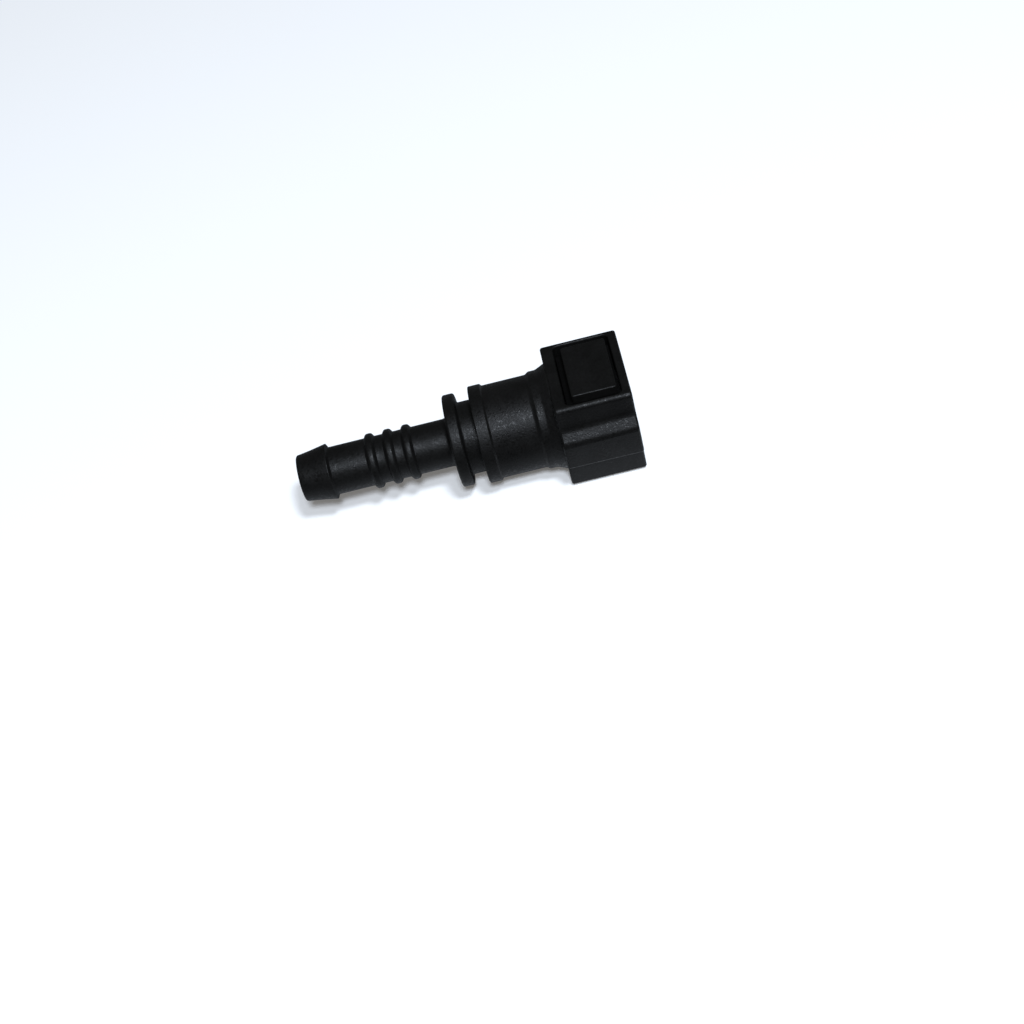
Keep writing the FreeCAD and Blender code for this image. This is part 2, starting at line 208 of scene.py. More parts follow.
# %% The hose stem's corners: the barb and the three rings
TIP_RADIUS, BARB_RADIUS = 4.00, 4.84
BARB_MIDDLE, BARB_MIDDLE_RADIUS = TIP + 2.60, 4.34
BARB_END, BARB_LAND, BARB_DROP = TIP + 5.20, 0.14, 0.50
FIRST_RING, RING_PITCH, RING_COUNT = TIP + 12.95, 3.22, 3
RING_RADIUS, RING_HALF_LAND, RING_HALF_BASE = 4.79, 0.48, 0.90

corners = [
    (TIP, TIP_RADIUS, 0.34), (BARB_MIDDLE, BARB_MIDDLE_RADIUS, 1.50), (BARB_END, BARB_RADIUS, 0.06),
    (BARB_END + BARB_LAND, BARB_RADIUS, 0.06), (BARB_END + BARB_DROP, STEM_RADIUS, 0.10),
]
for number in range(RING_COUNT):
    centre = FIRST_RING + RING_PITCH * number
    corners += [
        (centre - RING_HALF_BASE, STEM_RADIUS, 0.12), (centre - RING_HALF_LAND, RING_RADIUS, 0.26),
        (centre + RING_HALF_LAND, RING_RADIUS, 0.26), (centre + RING_HALF_BASE, STEM_RADIUS, 0.08),
    ]
print(f"hose stem: {len(corners)} corners")

# %% The body's corners: the collar, neck, band, shoulder and flare
FLANGE_BACK, FLANGE_FRONT, FLANGE_RADIUS = -31.30, -29.20, 8.04
NECK_RADIUS = 6.30
BAND_BACK, BAND_FRONT, BAND_RADIUS, BAND_SLOPE = -26.65, -24.55, 8.48, 0.30
BODY_RADIUS = 8.10
SHOULDER_BACK, SHOULDER_FRONT, SHOULDER_RADIUS, SHOULDER_SLOPE = -16.05, -14.75, 8.50, 0.55
FLARE_SLOPE = 0.45

corners += [
    (FLANGE_BACK, STEM_RADIUS, 0.80), (FLANGE_BACK, FLANGE_RADIUS, 0.42),
    (FLANGE_FRONT, FLANGE_RADIUS, 0.40), (FLANGE_FRONT, NECK_RADIUS, 0.45),
    (BAND_BACK, NECK_RADIUS, 0.10), (BAND_BACK, BAND_RADIUS, 0.24), (BAND_FRONT, BAND_RADIUS, 0.12),
    (BAND_FRONT + BAND_SLOPE, BODY_RADIUS, 0.10), (SHOULDER_BACK - SHOULDER_SLOPE, BODY_RADIUS, 0.25),
    (SHOULDER_BACK, SHOULDER_RADIUS, 0.15), (SHOULDER_FRONT, SHOULDER_RADIUS, 0.20),
    (HEAD_BACK, FLARE_RADIUS, 0.12),
]
flare_front = (HEAD_BACK + FLARE_SLOPE, FLARE_RADIUS - FLARE_SLOPE)
outside = [(x, radius) for x, radius, rounding in corners] + [flare_front]
print(f"{len(outside)} corners, {len(corners)} of them rounded")

# %% Section of the bores, from the head back to the tip
FLOW_RADIUS = 2.90
PILOT_BACK, PILOT_RADIUS = -29.50, 4.00
GLAND_BACK, GLAND_RADIUS = -23.20, 5.52
BUSH_LENGTH_IN_GLAND = 5.79
COLLAR_BACK, COLLAR_RADIUS = bush_low.x + BUSH_LENGTH_IN_GLAND, bush_high.z
JOIN_DEPTH = 0.90
BORE_BEVEL = 0.30
round_front = HEAD_BACK + JOIN_DEPTH
bores = [
    (round_front, FLARE_RADIUS - FLARE_SLOPE), (round_front, COLLAR_RADIUS),
    (COLLAR_BACK, COLLAR_RADIUS), (COLLAR_BACK, GLAND_RADIUS), (GLAND_BACK, GLAND_RADIUS),
    (GLAND_BACK, PILOT_RADIUS + BORE_BEVEL), (GLAND_BACK - BORE_BEVEL, PILOT_RADIUS),
    (PILOT_BACK, PILOT_RADIUS), (PILOT_BACK, FLOW_RADIUS), (TIP + BORE_BEVEL, FLOW_RADIUS),
    (TIP, FLOW_RADIUS + BORE_BEVEL),
]
print("bush collar seat at", round(COLLAR_BACK, 2))

# %% Spin the section and round its rings
round_half = spin_section(outside + bores)
round_rings(round_half, corners)
print(f"round half: {len(round_half.faces)} faces")

# %% [markdown]
# ## The square head
# The head is a straight block with a bulge along each side, where the latches of the retainer need
# room. Its section has twelve corners, each with its own rounding: tight at the head's corners, wide
# at the bulges' upper side, and small on the lower side of the head, where the photograph shows only
# thin steps. The bulges are a little narrower at the back than at the mouth, which is the draft that
# lets the mould slide off. The mould also rounds both ends of the block. An outline that shrinks over
# the last half millimetre does that: copies of it are stacked along the bore and bridged with quads,
# which stays clean where a bevel would fold over. The outward corners need roundings at least as large
# as that shrinking, or the smallest outline would cross itself.

# %% Corners of the head's section, with their roundings
UPPER_ROOT, UPPER_BULGE, LOWER_BULGE, LOWER_ROOT = 4.62, 2.62, -2.95, -4.80
ROOT_DRAFT, BULGE_DRAFT = 0.30, 0.16
UPPER_EDGE_ROUNDING, UPPER_ROOT_ROUNDING, UPPER_BULGE_ROUNDING = 0.85, 1.80, 1.70
LOWER_EDGE_ROUNDING, LOWER_ROOT_ROUNDING, LOWER_BULGE_ROUNDING = 0.46, 0.40, 0.46
CORNER_STEPS = 6


def head_section(share):
    """The twelve corners with their roundings, at a share of the way from the mouth to the back."""
    root, bulge = ROOT_DRAFT * share, BULGE_DRAFT * share
    half = [(HEAD_HALF_BREADTH, HEAD_HALF_HEIGHT, UPPER_EDGE_ROUNDING),
            (HEAD_HALF_BREADTH, UPPER_ROOT - root, UPPER_ROOT_ROUNDING),
            (BULGE_SIDE, UPPER_BULGE - bulge, UPPER_BULGE_ROUNDING),
            (BULGE_SIDE, LOWER_BULGE + bulge, LOWER_BULGE_ROUNDING),
            (HEAD_HALF_BREADTH, LOWER_ROOT + root, LOWER_ROOT_ROUNDING),
            (HEAD_HALF_BREADTH, -HEAD_HALF_HEIGHT, LOWER_EDGE_ROUNDING)]
    return [(-y, z, radius) for y, z, radius in half] + list(reversed(half))


def rounded_outline(section, inset):
    """Points of a section with its corners rounded, shrunk inwards by an inset."""
    points = []
    for index, (y, z, radius) in enumerate(section):
        corner = Vector((y, z))
        before = (corner - Vector(section[index - 1][:2])).normalized()
        after = (Vector(section[(index + 1) % len(section)][:2]) - corner).normalized()
        turn = math.atan2(before.x * after.y - before.y * after.x, before.dot(after))
        normal = Vector((before.y, -before.x))
        bisector = (normal + Vector((after.y, -after.x))) / (1.0 + before.dot(after))
        side = 1.0 if turn > 0.0 else -1.0
        arc = radius - side * inset
        centre = corner - bisector * (inset + side * arc)
        for step in range(CORNER_STEPS + 1):
            spoke = Matrix.Rotation(turn * step / CORNER_STEPS, 2) @ normal
            points.append(centre + spoke * side * arc)
    return points


def stack_outlines(loops):
    """A closed solid through a stack of outlines with equal numbers of points."""
    mesh = bmesh.new()
    rings = [[mesh.verts.new(Vector(point) * MM) for point in loop] for loop in loops]
    for first, second in zip(rings, rings[1:]):
        for index in range(len(first)):
            mesh.faces.new((first[index - 1], first[index], second[index], second[index - 1]))
    mesh.faces.new(rings[0])
    mesh.faces.new(rings[-1])
    bmesh.ops.recalc_face_normals(mesh, faces=mesh.faces)
    return mesh


# %% Stack the head's outlines along the bore
END_ROUNDING, END_STEPS = 0.44, 5
stations = []
for step in range(END_STEPS + 1):
    angle = math.pi / 2 * step / END_STEPS
    stations.append((END_ROUNDING * (1.0 - math.cos(angle)), END_ROUNDING * (1.0 - math.sin(angle))))
stations += [(-HEAD_BACK - depth, inset) for depth, inset in reversed(stations)]

head = stack_outlines([
    [(-depth, point.x, point.y) for point in rounded_outline(head_section(-depth / HEAD_BACK), inset)]
    for depth, inset in stations])
print(f"head: {len(head.faces)} faces")

# %% [markdown]
# ## The window, the recesses and the mouth
# The retainer drops into a window that goes straight through the head, with rounded corners and
# rounded lips. The core that leaves such a window flares out at both faces of the head, so the cutter
# is a stack of outlines too, this time along Z. A recess inside each bulge lets the latches move
# out, and the mouth is a plain bore with a bevelled rim.

# %% Cut the window with a core that flares at both faces
WINDOW_BACK, WINDOW_FRONT, WINDOW_SIDE = bush_high.x, -1.50, 7.30
WINDOW_CORNER, LIP_ROUNDING, LIP_STEPS = 0.95, 0.30, 4
PAST_FACE, RUN_OUT = 0.002, 1.0
window_section = [(x, y, WINDOW_CORNER) for x, y in (
    (WINDOW_BACK, -WINDOW_SIDE), (WINDOW_FRONT, -WINDOW_SIDE), (WINDOW_FRONT, WINDOW_SIDE),
    (WINDOW_BACK, WINDOW_SIDE))]
levels = [(HEAD_HALF_HEIGHT + RUN_OUT, LIP_ROUNDING)]
for step in range(LIP_STEPS + 1):
    angle = math.pi / 2 * step / LIP_STEPS
    levels.append((HEAD_HALF_HEIGHT + PAST_FACE - LIP_ROUNDING * (1.0 - math.cos(angle)),
                   LIP_ROUNDING * (1.0 - math.sin(angle))))
levels += [(-z, grown) for z, grown in reversed(levels)]
window = stack_outlines([
    [(point.x, point.y, z) for point in rounded_outline(window_section, -grown)]
    for z, grown in levels])
head = combine(head, window, "DIFFERENCE")
print(f"head with its window: {len(head.faces)} faces")

# %% Cut the recesses and the mouth
BULGE_WALL = 0.80
RECESS_BACK, RECESS_FRONT, RECESS_HALF = -8.10, -3.30, 2.50
RECESS_SIDE = BULGE_SIDE - BULGE_WALL
recesses = box_mesh((RECESS_BACK, -RECESS_SIDE, -RECESS_HALF), (RECESS_FRONT, RECESS_SIDE, RECESS_HALF))
head = combine(head, recesses, "DIFFERENCE")
MOUTH_RADIUS, MOUTH_BEVEL = 5.30, 0.45
inside_window = WINDOW_BACK + RUN_OUT
mouth = spin_section([
    (inside_window, 0.0), (inside_window, MOUTH_RADIUS), (-MOUTH_BEVEL, MOUTH_RADIUS),
    (RUN_OUT, MOUTH_RADIUS + MOUTH_BEVEL + RUN_OUT), (RUN_OUT, 0.0)])
head = combine(head, mouth, "DIFFERENCE")
collar_seat = spin_section([
    (HEAD_BACK - RUN_OUT, 0.0), (HEAD_BACK - RUN_OUT, COLLAR_RADIUS), (inside_window, COLLAR_RADIUS),
    (inside_window, 0.0)])
head = combine(head, collar_seat, "DIFFERENCE")
print(f"cut head: {len(head.faces)} faces")

# %% Join the two halves into one moulding
moulding = combine(round_half, head, "UNION")
housing = make_piece(moulding, "housing_moulding", "housing", "housing_nylon", "housing")

# %% [markdown]
# ## Seals, spacer and bush
# Inside the body two O-rings lie against the wall of their gland with a loose ring between them, and
# a bush pressed in from the window closes the gland. An O-ring is a circle spun about the bore.

# %% The O-rings
SEAL_RADIUS, SEAL_FACETS = 0.89, 24
SEAL_CLEARANCE = 0.01
SMALL_SPIN_STEPS = 96


def make_o_ring(name, node):
    low, high = (Vector(corner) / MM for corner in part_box(node))
    ring = bmesh.new()
    circle = bmesh.ops.create_circle(ring, radius=SEAL_RADIUS * MM, segments=SEAL_FACETS)
    upright = Matrix.Rotation(math.pi / 2, 3, "X")
    bmesh.ops.rotate(ring, verts=circle["verts"], cent=(0, 0, 0), matrix=upright)
    centre = ((low.x + high.x) / 2, 0.0, GLAND_RADIUS - SEAL_CLEARANCE - SEAL_RADIUS)
    bmesh.ops.translate(ring, verts=circle["verts"], vec=Vector(centre) * MM)
    bmesh.ops.spin(ring, geom=ring.verts[:] + ring.edges[:], cent=(0, 0, 0), axis=(1, 0, 0),
                   angle=math.tau, steps=SMALL_SPIN_STEPS, use_merge=True)
    bmesh.ops.remove_doubles(ring, verts=ring.verts, dist=WELD_DISTANCE)
    bmesh.ops.recalc_face_normals(ring, faces=ring.faces)
    return make_piece(ring, name, "housing", "seal_rubber", node, sharp_angle=80.0)


inner_seal = make_o_ring("inner_o_ring_round", "inner_o_ring")
outer_seal = make_o_ring("outer_o_ring_round", "outer_o_ring")

# %% The loose spacer and the pressed-in bush
spacer_low, spacer_high = (Vector(corner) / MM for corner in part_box("spacer_ring"))
BUSH_BORE, BUSH_ENTRY, SPACER_ROUNDING = 4.045, 0.80, 0.12
spacer_rims = [(spacer_low.x, BUSH_BORE), (spacer_high.x, BUSH_BORE),
               (spacer_high.x, spacer_high.z), (spacer_low.x, spacer_high.z)]
spacer_mesh = spin_section(spacer_rims, steps=SMALL_SPIN_STEPS)
round_rings(spacer_mesh, [(x, radius, SPACER_ROUNDING) for x, radius in spacer_rims], segments=2)
spacer = make_piece(spacer_mesh, "spacer_ring_turned", "housing", "spacer_nylon", "spacer_ring")

entry_back, entry_radius = bush_high.x - BUSH_ENTRY, BUSH_BORE + BUSH_ENTRY
bush_mesh = spin_section([
    (bush_low.x, BUSH_BORE), (entry_back, BUSH_BORE), (bush_high.x, entry_radius),
    (bush_high.x, COLLAR_RADIUS), (COLLAR_BACK, COLLAR_RADIUS), (COLLAR_BACK, GLAND_RADIUS),
    (bush_low.x, GLAND_RADIUS)], steps=SMALL_SPIN_STEPS)
round_rings(bush_mesh, [
    (bush_low.x, BUSH_BORE, 0.15), (entry_back, BUSH_BORE, 0.30), (bush_high.x, entry_radius, 0.12),
    (bush_high.x, COLLAR_RADIUS, 0.10), (bush_low.x, GLAND_RADIUS, 0.15)], segments=3)
bush = make_piece(bush_mesh, "retaining_bush_turned", "housing", "spacer_nylon", "retaining_bush")

# %% [markdown]
# ## The buttons and latches
# The retainer is one springy moulding on the real part. Pressing its two buttons bends its arms and
# spreads the latches, so here it is parted at its four bending places and each part slides stiffly.
# A button is a pad on a longer plate, whose two short arms end at a slant. The slants of neighbouring
# parts stay parallel, so they slide past each other as the buttons go in.

# %% A button: its section extruded along the bore, then rounded
ARM_THICKNESS, ARM_GAP = 1.05, 0.14
BUTTON_THICKNESS, PAD_HEIGHT, PAD_ROOT = 3.05, 1.85, 0.30
BUTTON_SIDE = button_high.y
ARM_INSIDE = BUTTON_SIDE - ARM_THICKNESS
HALF_ARM_GAP = ARM_GAP / math.sqrt(2)
UNDERSIDE = button_high.z - BUTTON_THICKNESS
PLATE_TOP = button_high.z - PAD_HEIGHT
PAD_FRONT_GAP, PAD_BACK_GAP = 0.62, 1.23
PAD_FRONT, PAD_BACK = WINDOW_FRONT - PAD_FRONT_GAP, WINDOW_BACK + PAD_BACK_GAP
HOLLOW_ROUNDING, PAD_CORNER_ROUNDING, PAD_EDGE_ROUNDING = 0.90, 0.40, 0.24


def extrude_section(points, front, back):
    """A straight solid from a section of (y, z) points, between two places along the bore."""
    mesh = bmesh.new()
    face = mesh.faces.new([mesh.verts.new((front * MM, y * MM, z * MM)) for y, z in points])
    pushed = bmesh.ops.extrude_face_region(mesh, geom=[face], use_keep_orig=True)
    moved = [item for item in pushed["geom"] if isinstance(item, bmesh.types.BMVert)]
    bmesh.ops.translate(mesh, vec=((back - front) * MM, 0.0, 0.0), verts=moved)
    bmesh.ops.recalc_face_normals(mesh, faces=mesh.faces)
    return mesh


def edges_at(mesh, test):
    return [edge for edge in mesh.edges if all(test(v.co / MM) for v in edge.verts)]


def close(value, goal, tolerance=1e-3):
    return abs(value - goal) < tolerance


def make_button(name, node, side):
    half = [(BUTTON_SIDE, PLATE_TOP), (BUTTON_SIDE, BUTTON_SIDE + HALF_ARM_GAP),
            (ARM_INSIDE, ARM_INSIDE + HALF_ARM_GAP), (ARM_INSIDE, UNDERSIDE)]
    points = [(y, side * z) for y, z in half + [(-y, z) for y, z in reversed(half)]]
    plate = extrude_section(points, button_high.x, button_low.x)
    hollows = edges_at(plate, lambda p: close(abs(p.y), ARM_INSIDE) and close(abs(p.z), UNDERSIDE))
    round_edges(plate, hollows, HOLLOW_ROUNDING)
    heights = sorted((side * (PLATE_TOP - PAD_ROOT), side * button_high.z))
    pad = box_mesh((PAD_BACK, -BUTTON_SIDE, heights[0]), (PAD_FRONT, BUTTON_SIDE, heights[1]))
    upright = [edge for edge in pad.edges if abs(edge.verts[0].co.z - edge.verts[1].co.z) > SAME_PLACE]
    round_edges(pad, upright, PAD_CORNER_ROUNDING, segments=5)
    rim = edges_at(pad, lambda p: close(abs(p.z), button_high.z))
    round_edges(pad, rim, PAD_EDGE_ROUNDING, segments=4)
    return make_piece(combine(plate, pad, "UNION"), name, node, "retainer_nylon", node)


upper_button = make_button("upper_button_pad", "upper_button", 1)
lower_button = make_button("lower_button_pad", "lower_button", -1)

# %% A latch: its arm, the rib in its recess and the lug behind the tube's bead
LUG_HALF, LUG_INSIDE = 3.00, 2.08
LUG_BACK, LUG_FRONT, LUG_RADIUS = -7.40, -4.40, 4.15
BEAD_SPACE, LUG_MOUTH = 5.20, 5.25
RIB_FRONT, RIB_BACK, RIB_HALF, RIB_RAMP, RIB_ROOT = -3.60, -7.80, 2.20, 0.80, 0.30
RIB_TIP = -latch_low.y
RIB_TIP_ROUNDING, ARM_END_ROUNDING = 0.20, 0.35


def make_latch(name, node, side):
    half = [(BUTTON_SIDE, BUTTON_SIDE - HALF_ARM_GAP), (ARM_INSIDE, ARM_INSIDE - HALF_ARM_GAP),
            (ARM_INSIDE, LUG_HALF), (LUG_INSIDE, LUG_HALF)]
    points = [(side * y, z) for y, z in half + [(y, -z) for y, z in reversed(half)]]
    arm = extrude_section(points, latch_high.x, latch_low.x)
    rib_half = [(BUTTON_SIDE - RIB_ROOT, RIB_HALF), (BUTTON_SIDE, RIB_HALF), (RIB_TIP, RIB_HALF - RIB_RAMP)]
    rib_points = [(side * y, z) for y, z in rib_half + [(y, -z) for y, z in reversed(rib_half)]]
    rib = extrude_section(rib_points, RIB_FRONT, RIB_BACK)
    tips = edges_at(rib, lambda p: close(abs(p.y), RIB_TIP))
    round_edges(rib, tips, RIB_TIP_ROUNDING, segments=3)
    latch = combine(arm, rib, "UNION")
    back, front = latch_low.x - RUN_OUT, latch_high.x + RUN_OUT
    tube_space = spin_section([
        (back, 0.0), (back, BEAD_SPACE), (LUG_BACK, BEAD_SPACE), (LUG_BACK, LUG_RADIUS),
        (LUG_FRONT, LUG_RADIUS), (latch_high.x, LUG_MOUTH), (front, LUG_MOUTH), (front, 0.0)])
    latch = combine(latch, tube_space, "DIFFERENCE")
    for x in (latch_high.x, latch_low.x):
        ends = edges_at(latch, lambda p: close(abs(p.y), BUTTON_SIDE) and close(p.x, x))
        round_edges(latch, ends, ARM_END_ROUNDING, segments=4)
    return make_piece(latch, name, node, "retainer_nylon", node)


front_latch = make_latch("front_latch_arm", "front_latch", -1)
rear_latch = make_latch("rear_latch_arm", "rear_latch", 1)

# %% [markdown]
# ## The grain of glass-filled nylon
# Both mouldings are black nylon filled with glass fibre. Its skin is not smooth: the fibres show as
# a fine grain that breaks a highlight into sparkles, over a slow unevenness where the melt cooled at
# different speeds. A few fibre ends lie bare and shine more than the skin around them: a Voronoi
# texture gives each small cell a chance, and only the cells above a threshold glint. The effect
# serves several materials, so it is a node group with named inputs. It gives a height for the bump, a
# tone for the colour and a glint for the roughness, and leaves the shader to each material.

# %% Build the grain group
CLOUD_SHARE = 0.5
GLINT_THRESHOLD = 0.62


def make_grain_group():
    group = bpy.data.node_groups.new("fibre grain", "ShaderNodeTree")
    interface = group.interface
    interface.new_socket("Vector", in_out="INPUT", socket_type="NodeSocketVector")
    for name, value in (("Grain size", 0.22), ("Cloud size", 4.0)):
        socket = interface.new_socket(name, in_out="INPUT", socket_type="NodeSocketFloat")
        socket.default_value = value
    interface.new_socket("Height", in_out="OUTPUT", socket_type="NodeSocketFloat")
    interface.new_socket("Tone", in_out="OUTPUT", socket_type="NodeSocketFloat")
    interface.new_socket("Glint", in_out="OUTPUT", socket_type="NodeSocketFloat")
    nodes, links = group.nodes, group.links
    source = nodes.new("NodeGroupInput")
    result = nodes.new("NodeGroupOutput")

    def texture(kind, size_name, **values):
        frequency = nodes.new("ShaderNodeMath")
        frequency.operation = "DIVIDE"
        frequency.inputs[0].default_value = 1.0 / MM
        links.new(source.outputs[size_name], frequency.inputs[1])
        node = nodes.new(kind)
        for socket_name, value in values.items():
            node.inputs[socket_name].default_value = value
        links.new(source.outputs["Vector"], node.inputs["Vector"])
        links.new(frequency.outputs[0], node.inputs["Scale"])
        return node

    fine = texture("ShaderNodeTexNoise", "Grain size", Detail=3.0, Roughness=0.65).outputs["Fac"]
    cloud = texture("ShaderNodeTexNoise", "Cloud size", Detail=2.0, Roughness=0.5).outputs["Fac"]
    specks = texture("ShaderNodeTexVoronoi", "Grain size", Randomness=1.0)
    chance = nodes.new("ShaderNodeSeparateColor")
    links.new(specks.outputs["Color"], chance.inputs["Color"])
    glint = nodes.new("ShaderNodeMapRange")
    glint.inputs["From Min"].default_value = GLINT_THRESHOLD
    glint.inputs["From Max"].default_value = 1.0
    links.new(chance.outputs["Red"], glint.inputs["Value"])
    links.new(glint.outputs["Result"], result.inputs["Glint"])
    height = nodes.new("ShaderNodeMath")
    height.operation = "MULTIPLY_ADD"
    height.inputs[1].default_value = CLOUD_SHARE
    links.new(cloud, height.inputs[0])
    links.new(fine, height.inputs[2])
    tone = nodes.new("ShaderNodeMath")
    tone.operation = "MULTIPLY"
    links.new(fine, tone.inputs[0])
    links.new(cloud, tone.inputs[1])
    links.new(height.outputs[0], result.inputs["Height"])
    links.new(tone.outputs[0], result.inputs["Tone"])
    return group


grain_group = make_grain_group()
print("grain group sockets:", [item.name for item in grain_group.interface.items_tree])

# %% [markdown]
# ## The materials
# The housing, the retainer and the inner pieces share the grain but not its values: the retainer is
# plain nylon from another mould, so its grain is a little shallower, and the rubber of the seals is
# duller. The colour varies with the tone, and the roughness falls where the grain glints. What is the
# same all over, such as the specular level, stays a constant of the Principled shader. The plates of
# the retainer lie deep in the window, where little of the room reaches them. Shade is painted into
# their colour there: it is darkened by their depth below the pads, so that the pads stand out as they
# do in the photograph.

# %% A nylon or rubber material with its own values
TONE_LOW, TONE_HIGH = 0.12, 0.40


def make_material(name, dark, light, rough_low, rough_high, specular, bump, grain_size):
    """Its colours, roughnesses and specular level, its bump height and its grain size in mm."""
    material = bpy.data.materials.new(name)
    material.use_nodes = True
    nodes, links = material.node_tree.nodes, material.node_tree.links
    shader = nodes["Principled BSDF"]
    shader.inputs["Specular IOR Level"].default_value = specular
    shader.inputs["IOR"].default_value = 1.5
    place = nodes.new("ShaderNodeTexCoord")
    grain = nodes.new("ShaderNodeGroup")
    grain.node_tree = grain_group
    grain.inputs["Grain size"].default_value = grain_size
    links.new(place.outputs["Object"], grain.inputs["Vector"])

    colour = nodes.new("ShaderNodeMix")
    colour.data_type = "RGBA"
    colour.inputs["A"].default_value = (*dark, 1.0)
    colour.inputs["B"].default_value = (*light, 1.0)
    spread = nodes.new("ShaderNodeMapRange")
    spread.inputs["From Min"].default_value = TONE_LOW
    spread.inputs["From Max"].default_value = TONE_HIGH
    links.new(grain.outputs["Tone"], spread.inputs["Value"])
    links.new(spread.outputs["Result"], colour.inputs["Factor"])
    links.new(colour.outputs["Result"], shader.inputs["Base Color"])

    gloss = nodes.new("ShaderNodeMapRange")
    gloss.inputs["To Min"].default_value = rough_high
    gloss.inputs["To Max"].default_value = rough_low
    links.new(grain.outputs["Glint"], gloss.inputs["Value"])
    links.new(gloss.outputs["Result"], shader.inputs["Roughness"])

    relief = nodes.new("ShaderNodeBump")
    relief.inputs["Strength"].default_value = 1.0
    relief.inputs["Distance"].default_value = bump * MM
    links.new(grain.outputs["Height"], relief.inputs["Height"])
    links.new(relief.outputs["Normal"], shader.inputs["Normal"])
    return material


BLACK_DARK, BLACK_LIGHT = (0.0027, 0.0026, 0.0024), (0.0059, 0.0058, 0.0055)
housing_nylon = make_material(
    "housing nylon", BLACK_DARK, BLACK_LIGHT,
    rough_low=0.27, rough_high=0.47, specular=0.130, bump=0.055, grain_size=0.32)
retainer_nylon = make_material(
    "retainer nylon", BLACK_DARK, BLACK_LIGHT,
    rough_low=0.29, rough_high=0.46, specular=0.130, bump=0.046, grain_size=0.30)
bush_nylon = make_material(
    "bush nylon", (0.0030, 0.0031, 0.0033), (0.0060, 0.0062, 0.0065),
    rough_low=0.40, rough_high=0.52, specular=0.25, bump=0.010, grain_size=0.20)
seal_rubber = make_material(
    "seal rubber", (0.0050, 0.0050, 0.0050), (0.0090, 0.0090, 0.0090),
    rough_low=0.60, rough_high=0.72, specular=0.30, bump=0.006, grain_size=0.15)

# %% Paint shade on the retainer's plates, which lie deep in the window
PAINTED_SHADE_HEIGHT, PAINTED_SHADE_FADE, PAINTED_SHADE_LEVEL = PLATE_TOP + 0.02, 0.25, 0.27


def paint_shade_below(material, height, level):
    """Paints shade into a material's colour: darkens it where it lies deeper than a height, from above and
    from below.
    """
    nodes, links = material.node_tree.nodes, material.node_tree.links
    shader = nodes["Principled BSDF"]
    place = nodes.new("ShaderNodeTexCoord")
    axes = nodes.new("ShaderNodeSeparateXYZ")
    distance = nodes.new("ShaderNodeMath")
    distance.operation = "ABSOLUTE"
    raised = nodes.new("ShaderNodeMapRange")
    raised.inputs["From Min"].default_value = height * MM
    raised.inputs["From Max"].default_value = (height + PAINTED_SHADE_FADE) * MM
    raised.inputs["To Min"].default_value = level
    links.new(place.outputs["Object"], axes.inputs["Vector"])
    links.new(axes.outputs["Z"], distance.inputs[0])
    links.new(distance.outputs[0], raised.inputs["Value"])
    # Painted shade: the base colour is multiplied by a level that falls below the height.
    shade = nodes.new("ShaderNodeMix")
    shade.data_type = "RGBA"
    shade.blend_type = "MULTIPLY"
    shade.inputs["Factor"].default_value = 1.0
    links.new(shader.inputs["Base Color"].links[0].from_socket, shade.inputs["A"])
    links.new(raised.outputs["Result"], shade.inputs["B"])
    links.new(shade.outputs["Result"], shader.inputs["Base Color"])


# Painted shade: the retainer's plates are darkened in colour where they lie deep in the window.
paint_shade_below(retainer_nylon, PAINTED_SHADE_HEIGHT, PAINTED_SHADE_LEVEL)
print(f"plates shade_painted below {PAINTED_SHADE_HEIGHT:.2f} mm from the middle")

# %% Give each piece its material
finishes = {
    housing_nylon: [housing],
    retainer_nylon: [upper_button, lower_button, front_latch, rear_latch],
    bush_nylon: [spacer, bush],
    seal_rubber: [inner_seal, outer_seal],
}
for material, pieces in finishes.items():
    for piece in pieces:
        piece.data.materials.clear()
        piece.data.materials.append(material)
print("finishes:", ", ".join(material.name for material in finishes))

# %% [markdown]
# ## The camera
# The photograph was taken from in front and above, with the part turned in the picture. A camera
# looks along its own -Z axis, so its turn is built from three plain angles: about the vertical, up
# from the table, and a roll. AIM is the tip of the stem as the camera sees it, in millimetres to the
# right, up and away. The angles, the focal length and AIM come from one fit to the part's own rims.

# %% Place the camera
IMAGE_SIZE = 1024
FOCAL_PIXELS = 1900.0
SENSOR = 36.0
ELEVATION, YAW, ROLL = 47.15, -3.69, 16.42
AIM = Vector((-36.07, 5.74, -326.05))
TIP_PLACE = Vector((TIP, 0.0, 0.0))

to_camera = (Matrix.Rotation(math.radians(ROLL), 3, "Z")
             @ Matrix.Rotation(math.radians(ELEVATION - 90.0), 3, "X")
             @ Matrix.Rotation(math.radians(YAW), 3, "Z"))
camera_data = bpy.data.cameras.new("camera")
camera_data.sensor_width = SENSOR
camera_data.lens = FOCAL_PIXELS / IMAGE_SIZE * SENSOR
camera_data.clip_start = 0.01
camera = bpy.data.objects.new("camera", camera_data)
bpy.context.scene.collection.objects.link(camera)
camera_place = (to_camera.transposed() @ -AIM + TIP_PLACE) * MM
camera.matrix_world = Matrix.Translation(camera_place) @ to_camera.transposed().to_4x4()
bpy.context.scene.camera = camera
print("camera at", [round(value, 3) for value in camera_place], "lens", round(camera_data.lens, 1))
